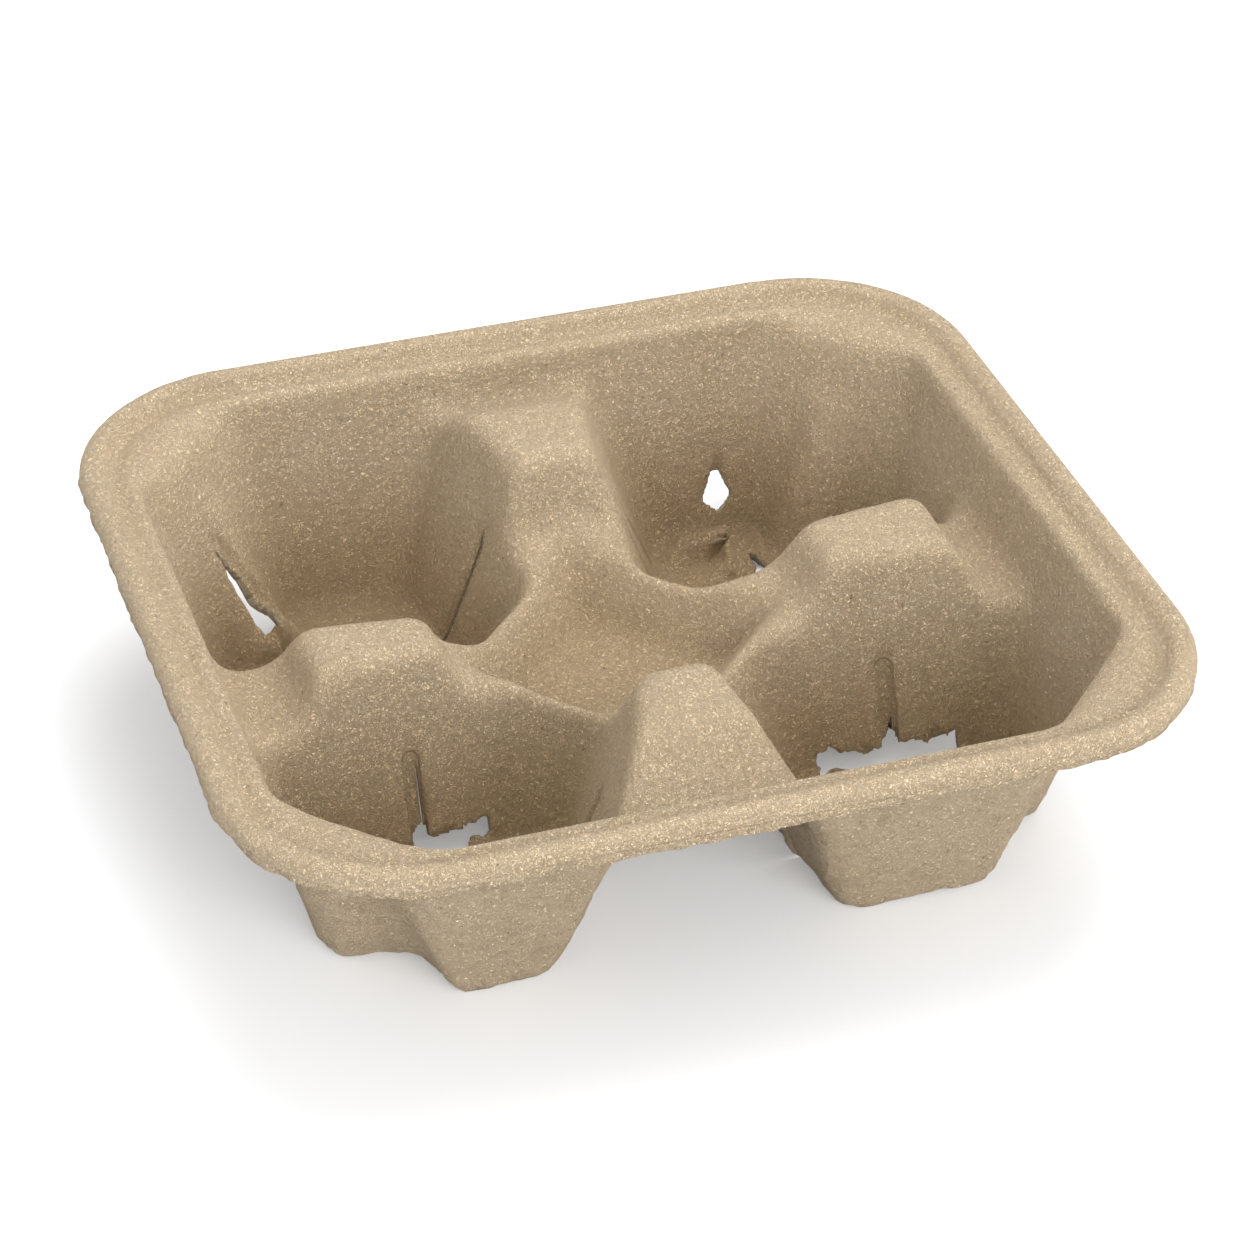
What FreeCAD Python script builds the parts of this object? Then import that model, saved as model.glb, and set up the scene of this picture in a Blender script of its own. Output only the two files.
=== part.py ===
"""Four-cup carrier moulded from paper pulp, as one thin sheet.

The sheet lies between two skins. Each skin is the face of a solid body: a rim block with a
drafted basin cut into it, where posts and bridges stand, and where four cup pockets and a
centre well are cut. The lower body is the same with every face moved in by the wall. The
lower body taken from the upper one leaves the sheet, hollow under posts, bridges and rim.

Z is up, the feet stand on Z = 0, and X runs along the front side. Sizes are in millimetres.
"""
import FreeCAD, Part
import Sketcher
import math
import os

doc = FreeCAD.newDocument("cup_carrier")
sizes = doc.addObject("Spreadsheet::Sheet", "Sizes")

SIZES = {
    # overall
    "tray_width": 220.0,
    "tray_depth": 207.0,
    "wall": 2.0,
    # rim: a rolled bead with a shelf inside it
    "lip_height": 52.0,
    "bead_height": 54.2,
    "bead_radius": 3.3,
    "corner_radius": 42.0,
    "shelf_height": 54.5,
    "shelf_inset": 12.7,
    # side walls, and the facets and valleys at the outer corners
    "side_lean": 15.0,
    "corner_cut": 29.0,
    "facet_lean": 18.5,
    "valley_behind": 8.4,
    "valley_radius": 16.5,
    "valley_end_radius": 8.0,
    "valley_top": 42.0,
    # posts: top height, length, and distance of the outer top edge from the tray's side
    "left_top": 46.5,
    "left_length": 27.0,
    "left_inset": 36.5,
    "right_top": 48.7,
    "right_length": 28.5,
    "right_inset": 33.5,
    "front_top": 52.0,
    "front_length": 21.5,
    "front_inset": 41.0,
    "back_top": 50.9,
    "back_length": 25.0,
    "back_inset": 29.0,
    "post_lean": 28.0,
    "side_outer_lean": 28.0,
    "end_outer_lean": 50.0,
    "post_round": 3.0,
    "post_reach": 45.0,
    # inner pocket walls: half width of each post's root, carried in to the tray's middle
    "root_height": 49.0,
    "side_draft": 20.0,
    "side_flare": 6.0,
    "left_front_root": 4.7,
    "left_back_root": -1.9,
    "right_root": 3.9,
    "end_draft": 20.0,
    "front_left_root": -4.7,
    "front_left_flare": 20.0,
    "front_right_root": 3.9,
    "front_right_flare": 6.0,
    "back_root": 0.4,
    "back_flare": 11.0,
    # the ridges between the pockets and the centre well, and the well itself
    "ridge_reach": 27.2,
    "ridge_height": 32.0,
    "ridge_draft": 27.0,
    "well_floor": 17.5,
    "well_reach": 17.9,
    "well_lean": 33.0,
    # bridges from the posts to the rim
    "bridge_height": 34.0,
    "end_bridge_drop": 9.0,
    "bridge_overlap": 5.0,
    # torn pocket floors, and the slits that run up the inner walls from them
    "hole_side_near": 40.0,
    "hole_side_ledge": 11.2,
    "hole_end_near": 20.0,
    "hole_end_ledge": 12.7,
    "hole_height": 8.0,
    "slit_width": 1.2,
    "slit_depth": 40.0,
    "side_slit_top": 26.0,
    "end_slit_top": 28.5,
    "end_slit_inset": 51.5,
}

# Each post: its side of the tray, its direction, the size across it, and its outer face's lean
POSTS = (
    ("right", 0, "tray_width", "side_outer_lean"),
    ("back", 90, "tray_depth", "end_outer_lean"),
    ("left", 180, "tray_width", "side_outer_lean"),
    ("front", 270, "tray_depth", "end_outer_lean"),
)

# Each pocket: its quadrant, its side post's root, and its end post's root and flare
POCKETS = (
    ("BackRight", 1, 1, "right_root", "back_root", "back_flare"),
    ("BackLeft", -1, 1, "left_back_root", "back_root", "back_flare"),
    ("FrontLeft", -1, -1, "left_front_root", "front_left_root", "front_left_flare"),
    ("FrontRight", 1, -1, "right_root", "front_right_root", "front_right_flare"),
)

# Plain cutting blocks reach past every face of the tray
FAR = 260.0
ABOVE = 80.0
BELOW = -4.0
VALLEY_BASE = -8.0

# Edges this close to a height are taken to lie at it
NEARLY = 0.01

for row, (alias, value) in enumerate(SIZES.items(), start=1):
    sizes.set("A%d" % row, alias)
    sizes.set("B%d" % row, str(value))
    sizes.setAlias("B%d" % row, alias)
doc.recompute()


def bind(item, **formulas):
    """Bind properties to formulas, in which $ stands for the sheet."""
    for prop, formula in formulas.items():
        item.setExpression(prop.replace("__", "."), formula.replace("$", "Sizes."))
    return item


def many(kind, name, shapes):
    """A fuse or a common of several shapes."""
    item = doc.addObject(kind, name)
    item.Shapes = shapes
    return item


def cut(name, base, tool):
    """One shape less another."""
    item = doc.addObject("Part::Cut", name)
    item.Base = base
    item.Tool = tool
    return item


def about_z(degrees):
    """A turn about the upright axis."""
    return FreeCAD.Rotation(FreeCAD.Vector(0, 0, 1), degrees)


def wedge(name, turn, near, far, low, high, near_top=None, far_top=None, half_width=None):
    """A block between `near` and `far` along the direction `turn`, with leaning end faces."""
    side = half_width or str(FAR)
    item = doc.addObject("Part::Wedge", name)
    bind(item, Xmin=near, Xmax=far, X2min=near_top or near, X2max=far_top or far, Ymin=low, Ymax=high,
         Zmin="-(%s)" % side, Z2min="-(%s)" % side, Zmax=side, Z2max=side)
    upright = FreeCAD.Rotation(FreeCAD.Vector(1, 0, 0), 90)
    item.Placement = FreeCAD.Placement(FreeCAD.Vector(), about_z(turn).multiply(upright))
    return item


def cavity_side(name, turn, reach, height, lean, low, inset, beyond):
    """A block with one leaning face, the wall of a cavity; the cavity is the common of several.

    The face is `reach` from the middle at `height` and leans so that the cavity widens
    upwards. It moves by `inset` along its normal, into the wall. The block lies beyond the
    face, or on the middle's side of it.
    """
    sign = "-" if beyond else "+"
    place = "({r}) {s} ({i}) / cos({l} * 1deg) {s} (({z}) - ({h})) * tan({l} * 1deg)"
    bottom = place.format(r=reach, s=sign, i=inset, l=lean, z=low, h=height)
    top = place.format(r=reach, s=sign, i=inset, l=lean, z=ABOVE, h=height)
    if beyond:
        return wedge(name, turn, bottom, str(FAR), low, str(ABOVE), near_top=top)
    return wedge(name, turn, str(-FAR), bottom, low, str(ABOVE), far_top=top)


def bead_line_sketch():
    """The bead's centre line: a rectangle with round corners.

    It is drawn at rough half sizes, and its constraints then take the real ones.
    """
    sketch = doc.addObject("Sketcher::SketchObject", "BeadLine")
    across, along, radius = 100.0, 90.0, 30.0
    arcs = []
    for quarter, (sx, sy) in enumerate(((1, 1), (-1, 1), (-1, -1), (1, -1))):
        centre = FreeCAD.Vector(sx * (across - radius), sy * (along - radius), 0)
        circle = Part.Circle(centre, FreeCAD.Vector(0, 0, 1), radius)
        start = quarter * math.pi / 2
        arcs.append(sketch.addGeometry(Part.ArcOfCircle(circle, start, start + math.pi / 2)))
    sides = []
    for k, arc in enumerate(arcs):
        begin = sketch.Geometry[arc].EndPoint
        end = sketch.Geometry[arcs[(k + 1) % 4]].StartPoint
        sides.append(sketch.addGeometry(Part.LineSegment(begin, end)))
    for k, arc in enumerate(arcs):
        sketch.addConstraint(Sketcher.Constraint("Tangent", arc, 2, sides[k], 1))
        sketch.addConstraint(Sketcher.Constraint("Tangent", sides[k], 2, arcs[(k + 1) % 4], 1))
        sketch.addConstraint(Sketcher.Constraint(("Horizontal", "Vertical")[k % 2], sides[k]))
    for k in (0, 1, 2):
        sketch.addConstraint(Sketcher.Constraint("Equal", arcs[k], arcs[k + 1]))
    sketch.addConstraint(Sketcher.Constraint("Symmetric", arcs[0], 3, arcs[2], 3, -1, 1))
    named = (
        ("radius", Sketcher.Constraint("Radius", arcs[0], radius),
         "Sizes.corner_radius - Sizes.bead_radius"),
        ("across", Sketcher.Constraint("DistanceX", arcs[1], 3, arcs[0], 3, 2 * (across - radius)),
         "Sizes.tray_width - 2 * Sizes.corner_radius"),
        ("along", Sketcher.Constraint("DistanceY", arcs[3], 3, arcs[0], 3, 2 * (along - radius)),
         "Sizes.tray_depth - 2 * Sizes.corner_radius"),
    )
    for name, constraint, formula in named:
        sketch.renameConstraint(sketch.addConstraint(constraint), name)
        sketch.setExpression("Constraints." + name, formula)
    return sketch


def outline_block(name, grow, low, high):
    """A block over the tray's outline, grown or shrunk from the bead's centre line."""
    outline = doc.addObject("Part::Offset2D", name + "Outline")
    outline.Source = bead_line
    outline.Join = "Arc"
    bind(outline, Value=grow)
    item = doc.addObject("Part::Extrusion", name)
    item.Base = outline
    item.DirMode = "Custom"
    item.Dir = FreeCAD.Vector(0, 0, 1)
    item.Solid = True
    bind(item, LengthFwd="(%s) - (%s)" % (high, low), Placement__Base__z=low)
    return item


def bead(name, inset):
    """The round bead, its section swept along the centre line."""
    section = doc.addObject("Part::Circle", name + "Section")
    section.Placement.Rotation = FreeCAD.Rotation(FreeCAD.Vector(0, 1, 0), 90)
    bind(section, Radius="$bead_radius - %s" % inset,
         Placement__Base__x="$tray_width / 2 - $corner_radius",
         Placement__Base__y="$tray_depth / 2 - $bead_radius")
    tube = doc.addObject("Part::Sweep", name)
    tube.Sections = [section]
    tube.Spine = (bead_line, [])
    tube.Solid = True
    bind(tube, Placement__Base__z="$bead_height")
    return tube


def open_air(low):
    """All the space outside the tray, up to the lip's lower edge."""
    item = doc.addObject("Part::Box", "OpenAir")
    bind(item, Length=str(2 * FAR), Width=str(2 * FAR), Height="$lip_height - (%s)" % low,
         Placement__Base__x=str(-FAR), Placement__Base__y=str(-FAR), Placement__Base__z=low)
    return item


def rim(name, inset, low, around):
    """Shelf block, lip ring and bead."""
    tube_radius = "($bead_radius - %s)" % inset
    shelf = outline_block(name + "Shelf", "0", low, "$shelf_height - %s" % inset)
    ring = cut(name + "LipRing",
               outline_block(name + "LipOuter", tube_radius, low, "$bead_height"),
               outline_block(name + "LipInner", "-" + tube_radius, low, str(ABOVE)))
    return many("Part::MultiFuse", name + "Rim", [shelf, ring, bead(name + "Bead", inset)] + around)


def valley(name, turn, reach, inset):
    """A leaning cone behind a corner facet, which grooves the outside of the foot."""
    lean = "$facet_lean * 1deg"
    start = "(%s + $valley_behind - ($shelf_height - (%s)) * tan(%s))" % (reach, VALLEY_BASE, lean)
    leaning = FreeCAD.Rotation(FreeCAD.Vector(0, 1, 0), SIZES["facet_lean"])
    cone = doc.addObject("Part::Cone", name)
    cone.Placement.Rotation = about_z(turn).multiply(leaning)
    bind(cone, Radius1="$valley_radius - %s" % inset, Radius2="$valley_end_radius - %s" % inset,
         Height="($valley_top - (%s)) / cos(%s)" % (VALLEY_BASE, lean),
         Placement__Base__x="%s * cos(%d deg)" % (start, turn),
         Placement__Base__y="%s * sin(%d deg)" % (start, turn),
         Placement__Base__z=str(VALLEY_BASE))
    return cone


def basin(name, inset, floor):
    """The drafted basin inside the shelf, less the valleys that stand in its corners."""
    sides = []
    for turn, across in ((0, "$tray_width"), (90, "$tray_depth"), (180, "$tray_width"), (270, "$tray_depth")):
        sides.append(cavity_side("%sSide%d" % (name, turn), turn, across + " / 2 - $shelf_inset",
                                 "$shelf_height", "$side_lean", floor, inset, beyond=False))
    reach = "(($tray_width + $tray_depth) / 2 - 2 * $shelf_inset - $corner_cut) / sqrt(2)"
    valleys = []
    for turn in (45, 135, 225, 315):
        sides.append(cavity_side("%sFacet%d" % (name, turn), turn, reach, "$shelf_height",
                                 "$facet_lean", floor, inset, beyond=False))
        valleys.append(valley("%sValley%d" % (name, turn), turn, reach, inset))
    hollow = many("Part::MultiCommon", name + "Hollow", sides)
    return cut(name + "Basin", hollow, many("Part::MultiFuse", name + "Valleys", valleys))


def post(name, side, turn, across, outer_lean, inset, low):
    """One post, with leaning inner and outer faces; the pockets cut its flanks."""
    top = "($%s_top - %s)" % (side, inset)
    outer = "$%s / 2 - $%s_inset" % (across, side)
    inner = "%s - $%s_length" % (outer, side)

    def run(lean, height):
        """How far a face stands out from its top edge at a height."""
        fall = "($%s_top - (%s))" % (side, height)
        return "(%s * tan($%s * 1deg) - %s / cos($%s * 1deg))" % (fall, lean, inset, lean)

    return wedge(name, turn, "%s - %s" % (inner, run("post_lean", low)),
                 "%s + %s" % (outer, run(outer_lean, low)), low, top,
                 near_top="%s - %s" % (inner, run("post_lean", top)),
                 far_top="%s + %s" % (outer, run(outer_lean, top)), half_width="$post_reach")


def end_bridge(name, side, turn, inset, low):
    """The high bridge between an end post and the rim, a drop below the post's top."""
    near = "$tray_depth / 2 - $%s_inset - $bridge_overlap + %s" % (side, inset)
    return wedge(name, turn, near, "$tray_depth / 2 - 2 * $bead_radius", low,
                 "$%s_top - $end_bridge_drop - %s" % (side, inset), half_width="$post_reach")


def well(name, inset):
    """The centre well, a square funnel set cornerwise."""
    sides = [cavity_side("%sWell%d" % (name, turn), turn, "$well_reach", "$well_floor", "$well_lean",
                         "$well_floor - %s" % inset, inset, beyond=False)
             for turn in (45, 135, 225, 315)]
    return many("Part::MultiCommon", name + "Well", sides)


def mirrored(turn, sx, sy):
    """A direction of the back right quadrant, mirrored into another one."""
    angle = math.radians(turn)
    return math.degrees(math.atan2(sy * math.sin(angle), sx * math.cos(angle)))


def pocket(name, sx, sy, side_root, end_root, end_flare, inset, floor):
    """One cup pocket, open outwards: its walls beside a side post, an end post and the well."""
    side_turn = mirrored(90 + SIZES["side_flare"], sx, sy)
    end_turn = mirrored(-SIZES[end_flare], sx, sy)
    walls = (
        cavity_side(name + "SideWall", side_turn, "$%s * cos($side_flare * 1deg)" % side_root,
                    "$root_height", "$side_draft", floor, inset, beyond=True),
        cavity_side(name + "EndWall", end_turn, "$%s * cos($%s * 1deg)" % (end_root, end_flare),
                    "$root_height", "$end_draft", floor, inset, beyond=True),
        cavity_side(name + "RidgeWall", mirrored(45, sx, sy), "$ridge_reach", "$ridge_height",
                    "$ridge_draft", floor, inset, beyond=True),
    )
    return many("Part::MultiCommon", name + "Pocket", list(walls))


def body_under_skin(name, inset, low, floor, around):
    """The solid under one skin: `inset` is 0 for the upper skin and the wall for the lower."""
    tray = cut(name + "Tray", rim(name, inset, low, around), basin(name, inset, floor))
    bridges = outline_block(name + "Bridges", "-$bead_radius", low, "$bridge_height - %s" % inset)
    inner = [cut(name + "BridgesAndWell", bridges, well(name, inset))]
    inner += [post(name + side.title() + "Post", side, turn, across, outer_lean, inset, low)
              for side, turn, across, outer_lean in POSTS]
    inner += [end_bridge(name + side.title() + "Bridge", side, turn, inset, low)
              for side, turn in (("back", 90), ("front", 270))]
    pockets = [pocket(name + where, *shape, inset, floor) for where, *shape in POCKETS]
    island = cut(name + "Island", many("Part::MultiFuse", name + "Inner", inner),
                 many("Part::MultiFuse", name + "Pockets", pockets))
    return many("Part::MultiFuse", name + "Body", [tray, island])


def round_posts(name, body, inset):
    """Round the edges of the four flat post tops."""
    doc.recompute()
    heights = [SIZES[side + "_top"] - inset for side, *place in POSTS]
    radius = SIZES["post_round"] - inset
    edges = []
    for number, edge in enumerate(body.Shape.Edges, start=1):
        extent = edge.BoundBox
        if extent.ZLength < NEARLY and any(abs(extent.ZMin - height) < NEARLY for height in heights):
            edges.append((number, radius, radius))
    item = doc.addObject("Part::Fillet", name)
    item.Base = body
    item.Edges = edges
    return item


def span(sign, near, far):
    """A range on one side of the middle, as its lower end and its length."""
    return (near if sign > 0 else "-(%s)" % far), "(%s) - (%s)" % (far, near)


def box(name, x_range, y_range, low, high):
    """A plain block over two ranges, between two heights."""
    item = doc.addObject("Part::Box", name)
    bind(item, Length=x_range[1], Width=y_range[1], Height="(%s) - (%s)" % (high, low),
         Placement__Base__x=x_range[0], Placement__Base__y=y_range[0], Placement__Base__z=low)
    return item


def openings(name, sx, sy):
    """The torn hole in one pocket's floor and the slits up its two inner walls."""
    foot = "- $shelf_inset - $shelf_height * tan($side_lean * 1deg)"
    x_far = "$tray_width / 2 %s - $hole_side_ledge" % foot
    y_far = "$tray_depth / 2 %s - $hole_end_ledge" % foot
    x_slit = "(($hole_side_near + %s) / 2)" % x_far
    y_slit = "($tray_depth / 2 - $end_slit_inset)"
    half = "$slit_width / 2"
    low = str(BELOW)
    return [
        box(name + "Hole", span(sx, "$hole_side_near", x_far), span(sy, "$hole_end_near", y_far),
            low, "$hole_height"),
        box(name + "SideSlit", span(sx, "%s - %s" % (x_slit, half), "%s + %s" % (x_slit, half)),
            span(sy, "0", "$slit_depth"), low, "$side_slit_top"),
        box(name + "EndSlit", span(sx, "0", "$slit_depth + $slit_width"),
            span(sy, "%s - %s" % (y_slit, half), "%s + %s" % (y_slit, half)), low, "$end_slit_top"),
    ]


bead_line = bead_line_sketch()
doc.recompute()

upper = round_posts("UpperRounded", body_under_skin("Upper", "0", "0", "$wall", []), 0.0)
below = str(BELOW)
lower = round_posts("LowerRounded", body_under_skin("Lower", "$wall", below, below, [open_air(below)]),
                    SIZES["wall"])
sheet_body = cut("Sheet", upper, lower)
torn = []
for where, sx, sy, *walls in POCKETS:
    torn += openings(where, sx, sy)
carrier = cut("Carrier", sheet_body, many("Part::MultiFuse", "Torn", torn))
carrier.Label = "pulp_carrier"
doc.recompute()

for item in doc.Objects:
    if "Invalid" in item.State or "Error" in item.State:
        raise RuntimeError("%s failed: %s" % (item.Name, item.State))
if carrier.Shape.isNull() or not carrier.Shape.isValid() or len(carrier.Shape.Solids) != 1:
    raise RuntimeError("the carrier is not one valid solid")

os.makedirs("parts", exist_ok=True)
carrier.Shape.exportStep("parts/%s.step" % carrier.Label)
print("volume %.1f mm3, box %s" % (carrier.Shape.Volume, carrier.Shape.optimalBoundingBox()))
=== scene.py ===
import math

import bpy
import numpy as np
from mathutils import Matrix, Vector


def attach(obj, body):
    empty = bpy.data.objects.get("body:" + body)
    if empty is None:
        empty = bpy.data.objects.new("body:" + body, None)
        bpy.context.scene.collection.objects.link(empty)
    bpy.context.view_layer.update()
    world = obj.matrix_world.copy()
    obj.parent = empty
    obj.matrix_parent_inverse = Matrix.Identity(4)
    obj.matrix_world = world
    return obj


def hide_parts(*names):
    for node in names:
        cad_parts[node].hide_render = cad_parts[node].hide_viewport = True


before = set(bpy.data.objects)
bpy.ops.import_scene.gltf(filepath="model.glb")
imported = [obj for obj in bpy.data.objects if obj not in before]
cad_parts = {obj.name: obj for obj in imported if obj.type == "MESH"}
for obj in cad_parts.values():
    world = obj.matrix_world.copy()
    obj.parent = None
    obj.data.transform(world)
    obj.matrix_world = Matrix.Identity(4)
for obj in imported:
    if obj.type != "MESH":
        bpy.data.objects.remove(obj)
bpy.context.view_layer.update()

bl_info = {
    "name": "Moulded pulp cup carrier",
    "version": (1, 0, 0),
    "blender": (4, 5, 0),
    "location": "3D View > Sidebar > Cup carrier",
    "description": "Forms a four-cup carrier from one sheet of paper pulp, with its studio",
    "category": "Add Mesh",
}

# Lengths below are in millimetres and angles in degrees, unless a name says otherwise
MM = 0.001
HALF_X, HALF_Y = 110.0, 103.5

# Rim: corner radius, radius and height of the rolled bead, height of the lip's edge
CORNER = 42.0
BEAD, BEAD_Z, LIP_Z = 3.3, 54.2, 52.0
RIM_ROWS = 11

# Basin: height of its shelf and floor, top edges of its walls, leans of walls and bevelled corners
SHELF_Z, FLOOR = 54.5, 2.0
WALL_X, WALL_Y = 97.3, 90.8
WALL_LEAN, FRONT_LEAN, FACET_LEAN = 15, 18.5, 18.5
FACET_REACH = (WALL_X + WALL_Y - 29.0) / math.sqrt(2)

# Middle: the well's reach, floor and lean, and the height of the bridges round it
WELL_REACH, WELL_FLOOR, WELL_LEAN = 17.9, 17.5, 33
BRIDGE_Z = 34.0

# Leans of the posts' inner faces, of the pockets' flanks and of the ridges between well and pocket
POST_LEAN, FLANK_LEAN, RIDGE_LEAN = 28, 20, 27

# Each post: direction, top height, inner and outer top edge, lean of its outer face, bridge height
POSTS = (
    ((1, 0), 48.7, 48.0, 76.5, 28.0, 34.0),
    ((0, 1), 50.9, 49.5, 74.5, 50.0, 41.9),
    ((-1, 0), 46.5, 46.5, 73.5, 28.0, 34.0),
    ((0, -1), 52.0, 41.0, 62.5, 50.0, 43.0),
)

# Each pocket: quadrant, root and flare of its side post's flank, root and flare of its end post's
POCKETS = (
    (1, 1, 3.9, 6.0, 0.4, 11.0),
    (-1, 1, -1.9, 6.0, 0.4, 11.0),
    (-1, -1, 4.7, 6.0, -4.7, 20.0),
    (1, -1, 3.9, 6.0, 3.9, 6.0),
)

# Slits up the flanks: their places across the tray and along it, and half their width
SLITS_X, SLIT_X_HALF = (-54.6, 58.9), 0.09
SLITS_Y, SLIT_Y_HALF = (-51.0, 52.0), 0.4

# Grooves beside the side slits: how far to the left they lie, and their top's height
GROOVE_ASIDE, GROOVE_TOP = 1.2, 23.0

# Torn flaps left at the holes' edges: place and reach
TONGUES = ((-60.0, 57.0, 8.0), (46.0, 57.0, 8.5), (-39.5, -33.5, 8.6), (-66.5, -30.0, 9.0),
           (44.0, -33.5, 7.0), (72.0, 36.0, 8.0))

# Tears up the walls: the wall's direction in degrees, then place, height and half width, foot to tip
TEARS = (
    (35, ((-67.8, 60.5, 7.0, 3.2), (-72.2, 62.9, 16.3, 2.0), (-78.3, 66.2, 29.3, 0.2))),
    (0, ((52.5, 77.8, 6.2, 0.2), (51.8, 78.9, 10.2, 4.0), (52.1, 80.0, 14.0, 2.6), (52.0, 80.8, 17.2, 1.0))),
    (79, ((31.6, 66.2, 2.7, 0.5), (26.0, 62.4, 15.0, 0.35), (20.1, 58.7, 26.6, 0.25))),
)

# Groove up one corner, beside its tear: foot and tip
CORNER_GROOVE = ((-66.5, 64.6, 11.0), (-78.6, 67.4, 31.0))

# Crumpled places: centre, reach, strength, lift
CRUMPLES = (
    ((-64.0, 60.0, 3.0), 13.0, 6.0, 3.5),
    ((47.0, 66.0, 2.0), 15.0, 6.5, 3.5),
    ((70.0, 38.0, 4.0), 10.0, 3.0, 1.5),
    ((-40.0, -29.0, 4.0), 8.0, 1.6, 1.0),
    ((44.0, -29.0, 4.0), 8.0, 1.8, 1.2),
    ((42.0, 7.0, 27.0), 6.5, 1.8, 0.0),
)


def tan(degrees):
    return math.tan(math.radians(degrees))


def cos(degrees):
    return math.cos(math.radians(degrees))


def soft_min(a, b, round_off):
    """The lower of two fields, rounded where they meet."""
    h = np.maximum(round_off - np.abs(a - b), 0.0) / round_off
    return np.minimum(a, b) - h * h * round_off / 4


def soft_max(a, b, round_off):
    """The higher of two fields, rounded where they meet."""
    return -soft_min(-a, -b, round_off)


def ease(share):
    """A smooth rise from 0 to 1."""
    share = np.clip(share, 0, 1)
    return share * share * (3 - 2 * share)


def along_line(z, points):
    """The place, and any width, of a line up a wall at each height."""
    columns = np.array(points).T
    return [np.interp(z, columns[2], column) for column in columns]


def lattice(points, cell, seed):
    """Smooth noise from -1 to 1 at points in millimetres, with hills about a cell wide."""
    p = points / cell + seed * 17.31
    base = np.floor(p).astype(np.int64)
    f = p - base
    f = f * f * f * (f * (f * 6 - 15) + 10)
    total = np.zeros(len(p))
    for corner in range(8):
        step = np.array([corner & 1, corner >> 1 & 1, corner >> 2 & 1])
        g = (base + step) & 0xFFFF
        mixed = (g[:, 0] * 73856093) ^ (g[:, 1] * 19349663) ^ (g[:, 2] * 83492791)
        mixed = mixed ^ (seed * 2654435761)
        mixed = (mixed ^ (mixed >> 13)) * 1274126177 & 0x7FFFFFFF
        value = ((mixed >> 8) & 0xFFFF) / 32767.5 - 1
        total += value * np.prod(np.where(step, f, 1 - f), axis=1)
    return total


def lumps(points, cell, seed, layers=2):
    """Layered smooth noise."""
    return sum(lattice(points, cell / 2.1 ** n, seed + n) / 1.9 ** n for n in range(layers))


def basin_field(x, y, z):
    """The basin's walls, bevelled corners, corner valleys and corner groove, and how near a corner is."""
    ax, ay = np.abs(x), np.abs(y)
    end_lean = np.where(y < 0, tan(FRONT_LEAN), tan(WALL_LEAN))
    sides = soft_min((WALL_X + (z - SHELF_Z) * tan(WALL_LEAN) - ax) * cos(WALL_LEAN),
                     (WALL_Y + (z - SHELF_Z) * end_lean - ay) * cos(WALL_LEAN), 8.0)
    diagonal = (ax + ay) / math.sqrt(2)
    aside = (ax - ay - (WALL_X - WALL_Y)) / math.sqrt(2)
    facet = (FACET_REACH + (z - SHELF_Z) * tan(FACET_LEAN) - diagonal) * cos(FACET_LEAN)
    basin = soft_min(sides, facet, 3.0)
    # each valley is a cone whose axis stands outside the bevelled corner
    centre = FACET_REACH + 8.4 - (SHELF_Z - z) * tan(FACET_LEAN)
    valley = np.hypot((diagonal - centre) * cos(FACET_LEAN), aside) - (16.5 - 0.17 * (z + 8))
    valley = soft_max(valley, z - 44.0, 9.0)
    basin = soft_min(basin, valley, 2.6)
    groove_x, groove_y, _ = along_line(z, CORNER_GROOVE)
    over_tip = np.maximum(z - CORNER_GROOVE[1][2], 0)
    groove = np.hypot(np.hypot(x - groove_x, y - groove_y), over_tip)
    basin = basin + 1.0 * ease((2.2 - groove) / 0.9)
    return basin, np.clip(1.0 - (sides - facet) / 7.0, 0, 1)


def flank(root, flare, z, along, out):
    """A pocket's side against a post, which leans back and flares outwards."""
    turn = math.radians(flare)
    reach = root * math.cos(turn) - (z - 49.0) * tan(FLANK_LEAN)
    return (reach + along * math.sin(turn) - out * math.cos(turn)) * -cos(FLANK_LEAN)


def island_field(x, y, z):
    """The middle: the well and its bridges, the posts, and the pockets pressed between them."""
    reach = (np.abs(x) + np.abs(y)) / math.sqrt(2)
    well = (WELL_REACH + (z - WELL_FLOOR) * tan(WELL_LEAN) - reach) * cos(WELL_LEAN)
    island = soft_max(z - BRIDGE_Z, soft_min(well, z - WELL_FLOOR, 3.5), 3.0)
    for (dx, dy), top, near, far, lean, bridge in POSTS:
        along = dx * x + dy * y
        block = soft_max(z - top, (near - (top - z) * tan(POST_LEAN) - along) * cos(POST_LEAN), 3.6)
        block = soft_max(block, (along - far - (top - z) * tan(lean)) * cos(lean), 3.6)
        island = soft_min(island, block, 6.0)
        if bridge > BRIDGE_Z:
            island = soft_min(island, soft_max(z - bridge, far - 5.0 - along, 6.0), 8.0)
    for sx, sy, side, side_flare, end, end_flare in POCKETS:
        u, v = sx * x, sy * y
        by_side = flank(side, side_flare, z, u, v)
        by_end = flank(end, end_flare, z, v, u)
        ridge = (27.2 - (z - 32.0) * tan(RIDGE_LEAN) - (u + v) / math.sqrt(2)) * -cos(RIDGE_LEAN)
        # a shallow groove runs up each flank beside its slit
        slit_x, slit_y = SLITS_X[sx > 0], SLITS_Y[sy > 0]
        from_side = np.hypot(x - slit_x + GROOVE_ASIDE, np.maximum(z - GROOVE_TOP, 0))
        from_end = np.hypot(y - slit_y, np.maximum(z - 28.0, 0))
        by_side = by_side + 1.7 * ease((2.2 - from_side) / 0.55)
        by_end = by_end + 0.9 * ease((2.0 - from_end) / 0.9)
        cavity = soft_min(soft_min(by_side, by_end, 8.0), ridge, 4.5)
        island = soft_max(island, cavity, 4.0)
    return island


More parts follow.
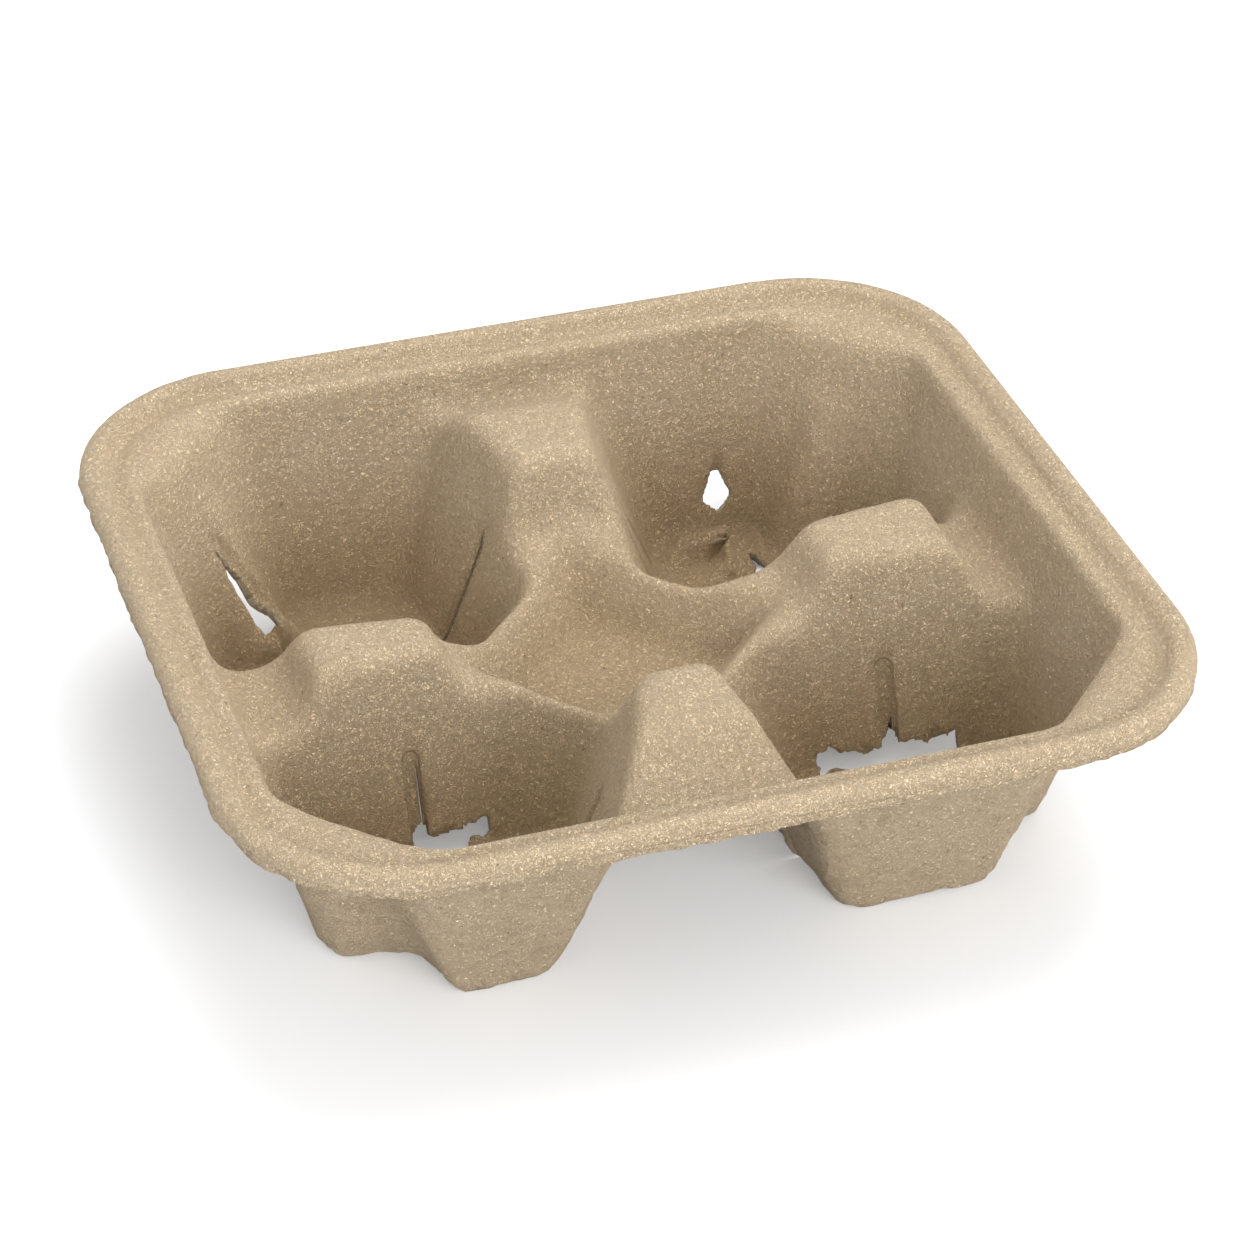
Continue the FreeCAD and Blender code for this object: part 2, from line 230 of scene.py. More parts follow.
def air_over_sheet(x, y, z):
    """Above 0 in the air over the sheet and below 0 under its upper face."""
    basin, at_corner = basin_field(x, y, z)
    air = soft_min(soft_max(z - SHELF_Z, basin, 6.5 - 4.0 * at_corner), island_field(x, y, z), 6.0)
    air = soft_min(air, z - FLOOR, 1.4)
    qx = np.maximum(np.abs(x) - (HALF_X - CORNER), 0)
    qy = np.maximum(np.abs(y) - (HALF_Y - CORNER), 0)
    from_middle = np.where((qx > 0) & (qy > 0), np.hypot(qx, qy), np.maximum(qx, qy))
    from_bead = from_middle - (CORNER - BEAD)
    # a shallow channel runs inside the bead
    air = air + 0.8 * np.exp(-((from_bead + 5.0) / 1.4) ** 2)
    return soft_min(air, np.hypot(from_bead, z - BEAD_Z) - BEAD, 1.2)


def height(x, y, steps=20):
    """The height of the sheet's upper face over points of the tray."""
    low, high = np.full(x.shape, -1.0), np.full(x.shape, 60.0)
    for _ in range(steps):
        middle = (low + high) / 2
        inside = air_over_sheet(x, y, middle) < 0
        low, high = np.where(inside, middle, low), np.where(inside, high, middle)
    return (low + high) / 2


def nearest_slit(across, slits):
    """Distance to the nearer of two slits."""
    return np.minimum(np.abs(across - slits[0]), np.abs(across - slits[1]))


def torn(x, y, z, tray):
    """Below 0 inside a torn hole in a pocket's floor or a tear in its wall, with a ragged edge."""
    ax, ay = np.abs(x), np.abs(y)
    away = nearest_slit(x + 0.6, SLITS_X)
    by_flank = 4.9 + 3.6 * np.exp(-(away / 2.0) ** 2) + 1.4 * ease((away - 11) / 4)
    top = np.where(ay < 34, by_flank, 7.4)
    edge = np.maximum.reduce([39.5 - ax, ax - 73.5, ay - 60.5, 21.0 - ay, (z - top) * 0.9,
                              (ax + ay) / math.sqrt(2) - 82.0])
    for tongue_x, tongue_y, reach in TONGUES:
        edge = np.maximum(edge, reach - np.hypot(x - tongue_x, y - tongue_y))
    points = np.stack([x, y, z], axis=1)
    ragged = tray.tear * (lumps(points, 7.5, 11) * 1.0 + lumps(points, 1.9, 23) * 0.6)
    edge = edge + ragged
    for direction, line in TEARS:
        tear_x, tear_y, _, half = along_line(z, line)
        dx, dy = x - tear_x, y - tear_y
        turn = math.radians(direction)
        beside = dx * math.cos(turn) + dy * math.sin(turn)
        behind = dy * math.cos(turn) - dx * math.sin(turn)
        split = np.hypot(beside, 0.12 * behind) - half + 0.28 * ragged * np.minimum(half, 1.0)
        edge = np.minimum(edge, np.maximum.reduce([split, line[0][2] - z, z - line[-1][2]]))
    return edge


def rim_profile(ring):
    """Position across the bead and height, for the rows outside the bead's centre line."""
    turns = [90, 72, 54, 36, 20, 8, 0]
    across = [BEAD * cos(t) for t in turns]
    heights = [BEAD_Z + BEAD * math.sin(math.radians(t)) for t in turns]
    # below the bead the pulp's layers stand in small steps
    for inwards, at in ((0.03, 53.7), (0.3, 53.45), (0.1, 53.0), (0.36, 52.7), (0.2, LIP_Z)):
        across.append(BEAD - inwards)
        heights.append(at)
    steps = range(RIM_ROWS + 1)
    return np.interp(ring, steps, across), np.interp(ring, steps, heights)


def grid_lines(half, mirror_half, swap, count, slits, slit_half):
    """Grid lines across the tray: close together on steep walls and beside the slits."""
    fine = np.linspace(-(half - BEAD), half - BEAD, 431)
    others = np.linspace(-(mirror_half - 8), mirror_half - 8, 83)
    x, y = np.meshgrid(fine, others, indexing="ij")
    flat = (y.ravel(), x.ravel()) if swap else (x.ravel(), y.ravel())
    z = height(*flat, steps=12).reshape(x.shape)
    slope = np.abs(np.gradient(z, fine, axis=0))
    weight = np.sqrt(1 + np.minimum(slope, 3.8) ** 2).mean(axis=1)
    for slit in slits:
        weight += 1.6 * np.exp(-((fine - slit) / 2.8) ** 2)
    total = np.concatenate([[0], np.cumsum((weight[1:] + weight[:-1]) / 2)])
    lines = np.interp(np.linspace(0, total[-1], count), total, fine)
    for slit in slits:
        for place in (slit - slit_half, slit + slit_half):
            lines[np.argmin(np.abs(lines - place))] = place
    rows = np.arange(1, RIM_ROWS + 1)
    return np.concatenate([-(half - BEAD) - rows[::-1], lines, half - BEAD + rows])


def bend_rim(gx, gy):
    """Bend the outer grid lines round the corners and over the bead."""
    inner_x, inner_y = HALF_X - CORNER, HALF_Y - CORNER
    qx, qy = np.abs(gx) - inner_x, np.abs(gy) - inner_y
    ring = np.maximum(qx, qy)
    corner = (qx > 0) & (qy > 0)
    on_bead = ring - (CORNER - BEAD)
    past, bead_z = rim_profile(np.maximum(on_bead, 0))
    radius = np.where(on_bead > 0, CORNER - BEAD + past, ring)
    share = np.minimum(qx, qy) / np.maximum(ring, 1e-6)
    angle = np.where(qx >= qy, share, 2 - share) * math.pi / 4
    straight_x = np.where(qx > qy, inner_x + radius, np.abs(gx))
    straight_y = np.where(qx > qy, np.abs(gy), inner_y + radius)
    x = np.where(corner, inner_x + radius * np.cos(angle), straight_x)
    y = np.where(corner, inner_y + radius * np.sin(angle), straight_y)
    inside = ring <= 0
    x, y = np.where(inside, np.abs(gx), x), np.where(inside, np.abs(gy), y)
    x, y = np.copysign(x, gx), np.copysign(y, gy)
    fray = lumps(np.stack([x, y, x * 0], axis=1), 2.4, 5) * 0.16
    z = np.where(on_bead > 0, bead_z, height(x, y)) + np.where(on_bead > RIM_ROWS - 4.5, fray, 0.0)
    return x, y, z, ring


def even_out(x, y, z, free, keep_x, keep_y, turns):
    """Slide the grid's points along the sheet until they are evenly apart, with the slits kept."""
    for turn in range(turns):
        last = turn == turns - 1
        for p, locked in ((x, keep_x), (y, keep_y)):
            near, weights = 0, 0
            for step, axis in ((1, 0), (-1, 0), (1, 1), (-1, 1)):
                length = np.sqrt((np.roll(x, step, axis) - x) ** 2 + (np.roll(y, step, axis) - y) ** 2
                                 + (np.roll(z, step, axis) - z) ** 2)
                near = near + np.roll(p, step, axis) * length
                weights = weights + length
            move = free & ~locked
            p[move] += 0.5 * (near / weights - p)[move]
        if turn % 4 == 3 or last:
            z[free] = height(x[free], y[free], 20 if last else 14)


def form_sheet(tray):
    """The sheet's upper face as a mesh, in millimetres."""
    across = grid_lines(HALF_X, HALF_Y, False, tray.lines, SLITS_X, SLIT_X_HALF)
    along = grid_lines(HALF_Y, HALF_X, True, tray.lines, SLITS_Y, SLIT_Y_HALF)
    bpy.ops.mesh.primitive_grid_add(x_subdivisions=len(across) - 1, y_subdivisions=len(along) - 1,
                                    size=2.0, location=(0, 0, 0))
    sheet = bpy.context.object
    sheet.name = "pulp_sheet"
    mesh = sheet.data
    co = coordinates(mesh)
    column = np.rint((co[:, 0] + 1) / 2 * (len(across) - 1)).astype(int)
    row = np.rint((co[:, 1] + 1) / 2 * (len(along) - 1)).astype(int)
    gx, gy = across[column], along[row]
    x, y, z, ring = bend_rim(gx, gy)
    keep_x = nearest_slit(gx, SLITS_X) < 3.4
    keep_y = nearest_slit(gy, SLITS_Y) < 2.6
    order = np.lexsort((column, row))
    shape = (len(along), len(across))
    grids = [v[order].reshape(shape) for v in (x, y, z, ring < 26, keep_x, keep_y)]
    even_out(*grids, tray.evening)
    for axis in range(3):
        co[order, axis] = grids[axis].ravel()
    set_coordinates(mesh, co)
    return sheet


def coordinates(mesh):
    co = np.empty(len(mesh.vertices) * 3)
    mesh.vertices.foreach_get("co", co)
    return co.reshape(-1, 3)


def set_coordinates(mesh, co):
    mesh.vertices.foreach_set("co", co.ravel())
    mesh.update()


def face_centres(mesh):
    co = np.empty(len(mesh.polygons) * 3)
    mesh.polygons.foreach_get("center", co)
    return co.reshape(-1, 3)


def select_faces(mesh, chosen):
    mesh.vertices.foreach_set("select", np.zeros(len(mesh.vertices), bool))
    mesh.edges.foreach_set("select", np.zeros(len(mesh.edges), bool))
    mesh.polygons.foreach_set("select", chosen)
    mesh.update()


def in_slit(c):
    """Faces in the two thin slits of each pocket, which run up from the hole."""
    x, y, z = c.T
    side = (nearest_slit(x, SLITS_X) < SLIT_X_HALF - 0.01) & (np.abs(y) < 40) & (z < 23.6)
    end = (nearest_slit(y, SLITS_Y) < SLIT_Y_HALF - 0.02) & (np.abs(x) < 41) & (z < 28.5)
    return side | (end & ((x < 0) | (y < 0)))


def border_vertices(mesh):
    """The vertices along the mesh's open edges."""
    edges = np.empty(len(mesh.loops), int)
    mesh.loops.foreach_get("edge_index", edges)
    uses = np.bincount(edges, minlength=len(mesh.edges))
    ends = np.empty(len(mesh.edges) * 2, int)
    mesh.edges.foreach_get("vertices", ends)
    return np.unique(ends.reshape(-1, 2)[uses == 1])


def tear_holes(sheet, tray):
    """Tear the pocket floors open and cut the slits."""
    mesh = sheet.data
    c = face_centres(mesh)
    select_faces(mesh, np.abs(torn(c[:, 0], c[:, 1], c[:, 2], tray)) < 2.6)
    bpy.ops.object.mode_set(mode="EDIT")
    bpy.ops.mesh.select_mode(type="FACE")
    bpy.ops.mesh.subdivide(number_cuts=1)
    bpy.ops.object.mode_set(mode="OBJECT")
    c = face_centres(mesh)
    select_faces(mesh, (torn(c[:, 0], c[:, 1], c[:, 2], tray) < 0) | in_slit(c))
    bpy.ops.object.mode_set(mode="EDIT")
    bpy.ops.mesh.delete(type="FACE")
    bpy.ops.object.mode_set(mode="OBJECT")
    # pull the open edges on to the tears' own outline, along the sheet
    co = coordinates(mesh)
    border = border_vertices(mesh)
    border = border[np.abs(torn(*co[border].T, tray)) < 1.6]
    shift = 0.15
    for _ in range(2):
        x, y, z = co[border].T
        here = torn(x, y, z, tray)
        gx = (torn(x + shift, y, height(x + shift, y), tray) - here) / shift
        gy = (torn(x, y + shift, height(x, y + shift), tray) - here) / shift
        size = np.maximum(gx * gx + gy * gy, 0.4)
        step = np.clip(here / size, -1.0, 1.0) * 0.8
        x = x - step * gx / np.sqrt(size)
        y = y - step * gy / np.sqrt(size)
        co[border] = np.stack([x, y, height(x, y)], axis=1)
    set_coordinates(mesh, co)


def crumple(sheet):
    """Push the torn flaps and the pulp round them out of shape."""
    mesh = sheet.data
    co = coordinates(mesh)
    push = np.zeros_like(co)
    for seed, (centre, reach, strength, lift) in enumerate(CRUMPLES):
        away = np.linalg.norm((co - centre) * (1, 1, 0.8), axis=1) / reach
        share = ease(1.0 - away)
        for axis in range(3):
            # folded noise has the sharp creases of crushed pulp
            folded = 0.6 - 1.8 * np.abs(lumps(co, 10.5, 130 + 7 * seed + axis * 3))
            push[:, axis] += share * strength * folded * (0.55, 0.55, 1.0)[axis]
        push[:, 2] += share * lift
    co += push
    co[:, 2] = np.maximum(co[:, 2], FLOOR + 0.1)
    set_coordinates(mesh, co)


def normals(mesh):
    n = np.empty(len(mesh.vertices) * 3)
    mesh.vertices.foreach_get("normal", n)
    return n.reshape(-1, 3)


def apply(piece, kind, name, **settings):
    """Add a modifier and apply it."""
    modifier = piece.modifiers.new(name, kind)
    for key, value in settings.items():
        setattr(modifier, key, value)
    bpy.context.view_layer.objects.active = piece
    bpy.ops.object.modifier_apply(modifier=name)


def alone(piece):
    bpy.ops.object.select_all(action="DESELECT")
    piece.select_set(True)
    bpy.context.view_layer.objects.active = piece


def finish_sheet(sheet, tray):
    """Give the sheet its wall, its uneven pulp surface and its real size."""
    mesh = sheet.data
    alone(sheet)
    apply(sheet, "SOLIDIFY", "Wall", thickness=tray.wall / MM, offset=-1.0, use_even_offset=False,
          material_offset=1, material_offset_rim=2)
    triangles = sum(len(f.vertices) - 2 for f in mesh.polygons)
    if triangles > tray.triangles:
        apply(sheet, "DECIMATE", "Thin", ratio=tray.triangles / triangles)
    co = coordinates(mesh)
    n = normals(mesh)
    upper = 1.0 + air_over_sheet(*co.T) > 0
    rough = 0.10 * lumps(co, 14, 41) + 0.07 * lumps(co, 5, 57) + 0.05 * lumps(co, 2.6, 77, 1)
    coarse = 0.20 * lumps(co, 9, 91) + 0.36 * lumps(co * (1, 1, 1.8), 3.8, 99)
    co += n * (tray.lumps * np.where(upper, rough, rough + coarse))[:, None]
    co[:, 2] = np.maximum(co[:, 2], 0.02)
    set_coordinates(mesh, co * MM)
    bpy.ops.object.shade_smooth()


class NodeTree:
    """Small helper that adds and joins the nodes of one material."""

    def __init__(self, name):
        self.material = bpy.data.materials.new(name)
        self.material.use_nodes = True
        self.tree = self.material.node_tree
        self.shader = self.tree.nodes["Principled BSDF"]

    def add(self, kind, inputs=None, **settings):
        node = self.tree.nodes.new("ShaderNode" + kind)
        for key, value in settings.items():
            setattr(node, key, value)
        for key, value in (inputs or {}).items():
            self.set(node.inputs[key], value)
        return node

    def set(self, socket, value):
        if isinstance(value, bpy.types.NodeSocket):
            self.tree.links.new(value, socket)
        else:
            socket.default_value = value

    def math(self, operation, a, b=0.0, clamp=False):
        node = self.add("Math", operation=operation, use_clamp=clamp)
        self.set(node.inputs[0], a)
        self.set(node.inputs[1], b)
        return node.outputs[0]

    def noise(self, vector, scale, detail=2.0, distortion=0.0, roughness=0.5):
        node = self.add("TexNoise", {"Vector": vector, "Scale": scale, "Detail": detail,
                                     "Distortion": distortion, "Roughness": roughness})
        return node.outputs["Fac"]

    def ramp(self, value, low, high, out_low=0.0, out_high=1.0):
        node = self.add("MapRange", {"Value": value, "From Min": low, "From Max": high,
                                     "To Min": out_low, "To Max": out_high}, clamp=True)
        return node.outputs["Result"]

    def mix(self, share, a, b, blend="MIX"):
        node = self.add("Mix", data_type="RGBA", blend_type=blend)
        self.set(node.inputs[0], share)
        self.set(node.inputs[6], a)
        self.set(node.inputs[7], b)
        return node.outputs[2]

    def strands(self, coords, turn, scale, width, distortion):
        """Thin curly lines, as of fibres that lie mostly one way."""
        mapping = self.add("Mapping", {"Vector": coords, "Rotation": turn, "Scale": scale})
        n = self.noise(mapping.outputs[0], 1.0, 1.0, distortion)
        off = self.math("ABSOLUTE", self.math("SUBTRACT", n, 0.5))
        return self.ramp(off, 0.0, width, 1.0, 0.0)


def add_flecks(m, bent, colour, tone):
    """Small dark flecks in some of the cells of two sizes."""
    for scale, low, high in ((420.0, 0.10, 0.24), (140.0, 0.05, 0.10)):
        cells = m.add("TexVoronoi", {"Vector": bent, "Scale": scale, "Randomness": 1.0})
        chance = m.add("SeparateColor", {"Color": cells.outputs["Color"]}).outputs[0]
        fleck = m.math("MULTIPLY", m.ramp(cells.outputs["Distance"], low, high, 1.0, 0.0),
                       m.ramp(chance, 0.90, 0.92))
        colour = m.mix(m.math("MULTIPLY", fleck, 0.55), colour, tone)
    return colour


def groove_relief_and_painted_shade(m, coords, colour, dark, relief):
    """The pressed grooves beside the slits in relief, with painted shade along their edges, and painted
    shade that darkens and browns the pulp in the tray's depths.
    """
    px, py, pz = m.add("SeparateXYZ", {"Vector": coords}).outputs
    # painted shade: below 36 mm the pulp is darkened and browned towards the tray's bottom, as the shade and
    # bounced light of the deep well
    painted_depth_shade = m.ramp(pz, 0.012, 0.036, 0.9, 0.0)
    colour = m.mix(painted_depth_shade, colour, m.mix(1.0, colour, (0.80, 0.73, 0.62, 1.0), "MULTIPLY"))
    rise = m.math("MAXIMUM", m.math("SUBTRACT", pz, GROOVE_TOP * MM), 0.0)
    aside = m.ramp(m.math("ABSOLUTE", py), 0.036, 0.037, 0.0, 0.01)
    for slit in SLITS_X:
        across = m.math("SUBTRACT", px, (slit - GROOVE_ASIDE) * MM)
        squares = m.math("ADD", m.math("MULTIPLY", across, across), m.math("MULTIPLY", rise, rise))
        near = m.math("ADD", m.math("SQRT", squares), aside)
        # painted shade: a thin dark line along each groove's edge, 2 mm from its middle
        line = m.ramp(m.math("ABSOLUTE", m.math("SUBTRACT", near, 0.0020)), 0.0, 0.0004, 0.55, 0.0)
        colour = m.mix(line, colour, dark)
        relief = m.math("SUBTRACT", relief, m.ramp(near, 0.0018, 0.0022, 1.5, 0.0))
    return colour, relief


def crease_with_painted_shade(m, coords, bent, colour, tone, relief):
    """The curly creases of the side that had no mesh against it, in relief, with painted shade darkening
    them in patches.
    """
    ridges = m.strands(bent, (0.0, 0.1, 0.2), (430, 430, 700), 0.036, 2.6)
    finer = m.strands(bent, (0.4, 0.2, 0.9), (800, 800, 1200), 0.035, 2.2)
    ridges = m.math("MAXIMUM", ridges, m.math("MULTIPLY", finer, 0.7))
    relief = m.math("SUBTRACT", relief, m.math("MULTIPLY", ridges, 1.6))
    # painted shade: the creases are darkened with a deep brown tone where the noise allows
    crease_shade_patches = m.ramp(m.noise(coords, 240.0, 1.0), 0.48, 0.60, 0.0, 0.6)
    return m.mix(m.math("MULTIPLY", crease_shade_patches, ridges), colour, tone), relief


def pulp_material(name, finish, coarse):
    """Unbleached paper pulp: felted fibres, mottling and dark flecks in colour and in relief."""
    m = NodeTree(name)
    coords = m.add("TexCoord").outputs["Object"]
    wander = m.add("TexNoise", {"Vector": coords, "Scale": 900.0, "Detail": 1.0}).outputs["Color"]
    bent = m.add("VectorMath", {0: wander, 1: (0.0016, 0.0016, 0.0016)}, operation="MULTIPLY").outputs[0]
    bent = m.add("VectorMath", {0: coords, 1: bent}, operation="ADD").outputs[0]
    layers = [m.strands(bent, turn, scale, 0.046, 0.6) for turn, scale in (
        ((0.3, 0.5, 0.2), (2400, 800, 1100)), ((1.1, 0.2, 1.3), (1000, 2400, 900)),
        ((0.6, 1.2, 2.3), (1300, 900, 2400)), ((2.1, 0.7, 0.9), (2100, 760, 1400)))]
    fibres = m.math("MAXIMUM", m.math("MAXIMUM", layers[0], layers[1]), layers[2])
    shadows = layers[3]
    mottle = m.noise(coords, 70.0, 4.0)
    cloud = m.noise(coords, 700.0, 3.0)
    grain = m.noise(coords, 2200.0, 2.0)

    def tone(tint, painted_lift=1.0):
        return tuple(c * d * painted_lift for c, d in zip(finish.pulp_colour, tint)) + (1.0,)

    # painted light: the coarse outer side's tones are lifted 1.16 times over the felted side's, to brighten
    # its faces; its mottling is halved
    painted_lift, mottling = (1.16, 0.5) if coarse else (1.0, 1.0)
    dark = tone((0.80, 0.74, 0.64), painted_lift)
    colour = m.mix(m.ramp(mottle, 0.35, 0.68, 0.0, 0.30), tone((1, 1, 1), painted_lift), dark)
    colour = m.mix(m.ramp(cloud, 0.42, 0.66, 0.0, 0.60 * mottling), colour, dark)
    colour = m.mix(m.ramp(grain, 0.48, 0.72, 0.0, 0.45 * mottling), colour, dark)
    colour = m.mix(m.math("MULTIPLY", shadows, 0.80), colour, dark)
    colour = m.mix(m.math("MULTIPLY", fibres, 0.36), colour, tone((1.16, 1.20, 1.26), painted_lift))
    colour = add_flecks(m, bent, colour, tone((0.30, 0.25, 0.20), painted_lift))
    relief = m.math("ADD", m.math("MULTIPLY", fibres, 0.55), m.math("MULTIPLY", cloud, 1.7))
    relief = m.math("ADD", relief, m.math("MULTIPLY", grain, 0.7))
    if coarse:
        # painted shade in the creases, in a deep brown tone
        colour, relief = crease_with_painted_shade(m, coords, bent, colour, tone((0.52, 0.42, 0.30)), relief)
    else:
        colour, relief = groove_relief_and_painted_shade(m, coords, colour, dark, relief)
    bump_height = finish.relief * (1.25 if coarse else 1.0)
    bump = m.add("Bump", {"Height": relief, "Strength": 1.0, "Distance": bump_height})
    m.set(m.shader.inputs["Base Color"], colour)
    m.set(m.shader.inputs["Normal"], bump.outputs[0])
    m.shader.inputs["Roughness"].default_value = 0.8
    m.shader.inputs["Specular IOR Level"].default_value = 0.4
    return m.material


class CupCarrierTray(bpy.types.PropertyGroup):
    """Sizes of the formed sheet."""

    wall: bpy.props.FloatProperty(
        name="Wall", description="Thickness of the pulp", default=0.002, unit="LENGTH")
    lines: bpy.props.IntProperty(
        name="Grid lines", description="Grid lines across the tray, inside the bead", default=250)
    evening: bpy.props.IntProperty(
        name="Evening", description="Passes that even out the mesh on steep walls", default=24)
    triangles: bpy.props.IntProperty(
        name="Triangles", description="Most triangles that the sheet keeps", default=196000)
    tear: bpy.props.FloatProperty(
        name="Tear", description="How ragged the torn edges are", default=1.0)
    lumps: bpy.props.FloatProperty(
        name="Lumps", description="How uneven the pulp's surface is", default=1.0)


class CupCarrierFinish(bpy.types.PropertyGroup):
    """Colour and relief of the pulp."""

    pulp_colour: bpy.props.FloatVectorProperty(
        name="Pulp", description="Colour of the dry pulp", default=(0.72, 0.57, 0.385),
        size=3, subtype="COLOR", min=0.0, max=1.0)
    relief: bpy.props.FloatProperty(
        name="Relief", description="Height of the fibre relief", default=0.00095, unit="LENGTH")


class CupCarrierStudio(bpy.types.PropertyGroup):
    """Camera, lamps and floor."""

    focal_length: bpy.props.FloatProperty(
        name="Lens", description="Focal length", default=117.07, unit="CAMERA")
    key_power: bpy.props.FloatProperty(
        name="Key", description="Power of the main lamp, in watts", default=16.0)
    fill_power: bpy.props.FloatProperty(
        name="Fill", description="Power of the front lamp, in watts", default=26.0)
    sky: bpy.props.FloatProperty(
        name="Sky", description="Strength of the even light all round", default=0.95)


class CUPCARRIER_OT_sheet(bpy.types.Operator):
    """Form the pulp sheet, tear its pocket floors and give it its wall"""

    bl_idname = "cupcarrier.sheet"
    bl_label = "Pulp sheet"

    def execute(self, context):
        tray = context.scene.cup_carrier_tray
        finish = context.scene.cup_carrier_finish
        bpy.ops.object.select_all(action="DESELECT")
        sheet = form_sheet(tray)
        felted = pulp_material("pulp felted", finish, False)
        coarse = pulp_material("pulp coarse", finish, True)
        for material in (felted, coarse, coarse):
            sheet.data.materials.append(material)
        alone(sheet)
        tear_holes(sheet, tray)
        crumple(sheet)
        finish_sheet(sheet, tray)
        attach(sheet, "root")
        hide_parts("pulp_carrier")
        return {"FINISHED"}


def photo_camera(studio):
    """The camera at the photograph's viewing angle."""
    azimuth, rise, roll = -0.326203163, 0.608508389, 0.004524669
    target = Vector((-0.0066002057, -0.02449152365, 0.052))
    distance = 0.901823956
    away = Vector((math.sin(azimuth) * math.cos(rise), -math.cos(azimuth) * math.cos(rise), math.sin(rise)))
    right = (-away).cross(Vector((0, 0, 1))).normalized()
    up = right.cross(-away)
    tilted_right = math.cos(roll) * right + math.sin(roll) * up
    tilted_up = math.cos(roll) * up - math.sin(roll) * right
    data = bpy.data.cameras.new("photo camera")
    data.lens = studio.focal_length
    data.sensor_width = 36.0
    data.clip_start, data.clip_end = 0.01, 20.0
    camera = bpy.data.objects.new("photo camera", data)
    bpy.context.collection.objects.link(camera)
    turn = Matrix((tilted_right, tilted_up, away)).transposed().to_4x4()
    camera.matrix_world = Matrix.Translation(target + away * distance) @ turn
    bpy.context.scene.camera = camera


def lamp(name, power, size, place, aim):
    """A square soft lamp."""
    data = bpy.data.lights.new(name, "AREA")
    data.energy = power
    data.shape = "SQUARE"
    data.size = size
    item = bpy.data.objects.new(name, data)
    bpy.context.collection.objects.link(item)
    item.location = place
    item.rotation_mode = "QUATERNION"
    item.rotation_quaternion = (Vector(place) - Vector(aim)).to_track_quat("Z", "Y")


def see_white(tree, seen, other):
    """One shader to the camera, in reflections and through glass, and the other elsewhere."""
    path = tree.nodes.new("ShaderNodeLightPath")
    total = path.outputs["Is Camera Ray"]
    for ray in (path.outputs["Is Glossy Ray"], path.outputs["Is Transmission Ray"]):
        both = tree.nodes.new("ShaderNodeMath")
        both.operation = "ADD"
        both.use_clamp = True
        tree.links.new(total, both.inputs[0])
        tree.links.new(ray, both.inputs[1])
        total = both.outputs[0]
    mix = tree.nodes.new("ShaderNodeMixShader")
    tree.links.new(total, mix.inputs[0])
    tree.links.new(other, mix.inputs[1])
    tree.links.new(seen, mix.inputs[2])
    return mix.outputs[0]


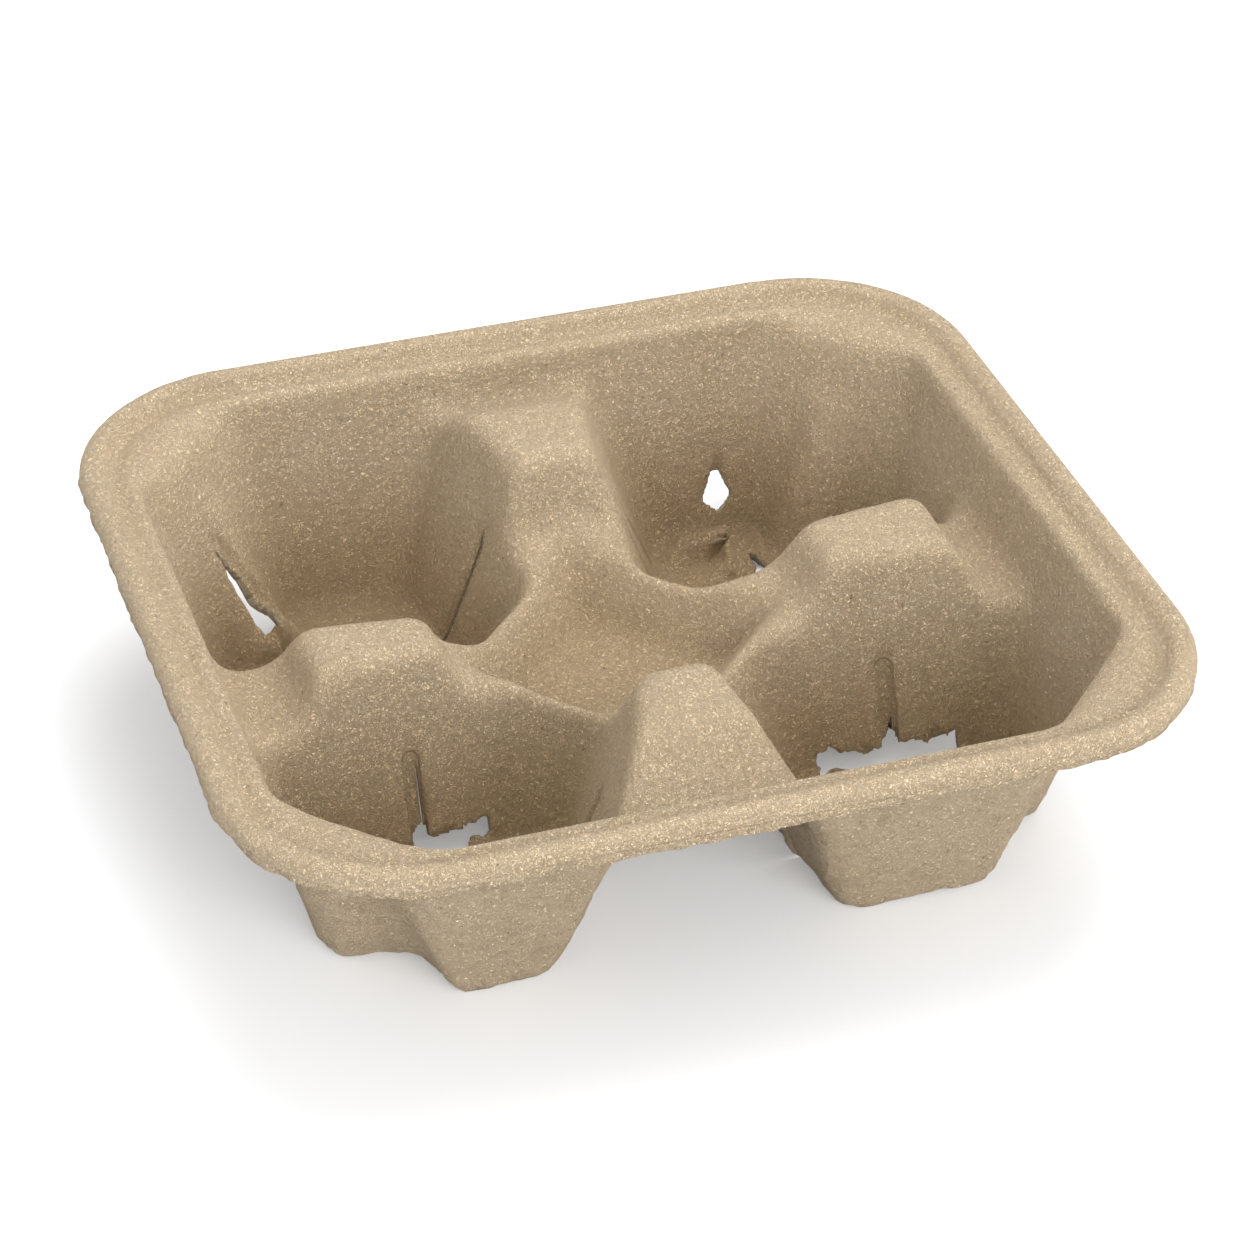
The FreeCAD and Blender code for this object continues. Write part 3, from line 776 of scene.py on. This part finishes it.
class CUPCARRIER_OT_studio(bpy.types.Operator):
    """Set up the pale floor, the soft lamps and the camera"""

    bl_idname = "cupcarrier.studio"
    bl_label = "Studio"

    def execute(self, context):
        studio = context.scene.cup_carrier_studio
        photo_camera(studio)
        lamp("key", studio.key_power, 1.0, (0.35, 0.45, 1.2), (0, 0, 0.02))
        lamp("fill", studio.fill_power, 1.2, (0.2, -1.5, 0.6), (0, 0, 0.03))

        world = context.scene.world or bpy.data.worlds.new("World")
        context.scene.world = world
        world.use_nodes = True
        tree = world.node_tree
        tree.nodes.clear()
        even, white = (tree.nodes.new("ShaderNodeBackground") for _ in range(2))
        for background, strength in ((even, studio.sky), (white, 1.0)):
            background.inputs["Color"].default_value = (1, 1, 1, 1)
            background.inputs["Strength"].default_value = strength
        out = tree.nodes.new("ShaderNodeOutputWorld")
        tree.links.new(see_white(tree, white.outputs[0], even.outputs[0]), out.inputs[0])

        bpy.ops.object.select_all(action="DESELECT")
        bpy.ops.mesh.primitive_plane_add(size=12.0, location=(0, 0, 0))
        floor = context.object
        floor.name = "floor"
        material = bpy.data.materials.new("pale floor")
        material.use_nodes = True
        tree = material.node_tree
        shader = tree.nodes["Principled BSDF"]
        shader.inputs["Base Color"].default_value = (0.70, 0.705, 0.715, 1)
        shader.inputs["Roughness"].default_value = 1.0
        shader.inputs["Specular IOR Level"].default_value = 0.0
        glow = tree.nodes.new("ShaderNodeEmission")
        glow.inputs["Strength"].default_value = 0.2
        lit = tree.nodes.new("ShaderNodeAddShader")
        tree.links.new(shader.outputs[0], lit.inputs[0])
        tree.links.new(glow.outputs[0], lit.inputs[1])
        out = tree.nodes["Material Output"]
        tree.links.new(see_white(tree, lit.outputs[0], shader.outputs[0]), out.inputs[0])
        floor.data.materials.append(material)
        context.scene.view_settings.view_transform = "Standard"
        return {"FINISHED"}


class CUPCARRIER_PT_panel(bpy.types.Panel):
    """Cup carrier: its sheet and its studio"""

    bl_idname = "CUPCARRIER_PT_panel"
    bl_label = "Cup carrier"
    bl_space_type = "VIEW_3D"
    bl_region_type = "UI"
    bl_category = "Cup carrier"

    def draw(self, context):
        scene = context.scene
        for group in (scene.cup_carrier_tray, scene.cup_carrier_finish, scene.cup_carrier_studio):
            box = self.layout.box()
            for name in group.__annotations__:
                box.prop(group, name)
        for operator in OPERATORS:
            self.layout.operator(operator.bl_idname)


OPERATORS = (CUPCARRIER_OT_sheet, CUPCARRIER_OT_studio)
CLASSES = (CupCarrierTray, CupCarrierFinish, CupCarrierStudio) + OPERATORS + (CUPCARRIER_PT_panel,)


def register():
    for item in CLASSES:
        bpy.utils.register_class(item)
    bpy.types.Scene.cup_carrier_tray = bpy.props.PointerProperty(type=CupCarrierTray)
    bpy.types.Scene.cup_carrier_finish = bpy.props.PointerProperty(type=CupCarrierFinish)
    bpy.types.Scene.cup_carrier_studio = bpy.props.PointerProperty(type=CupCarrierStudio)


def unregister():
    del bpy.types.Scene.cup_carrier_studio
    del bpy.types.Scene.cup_carrier_finish
    del bpy.types.Scene.cup_carrier_tray
    for item in reversed(CLASSES):
        bpy.utils.unregister_class(item)


def main():
    register()
    bpy.ops.cupcarrier.sheet()
    bpy.ops.cupcarrier.studio()


if __name__ == "__main__":
    main()
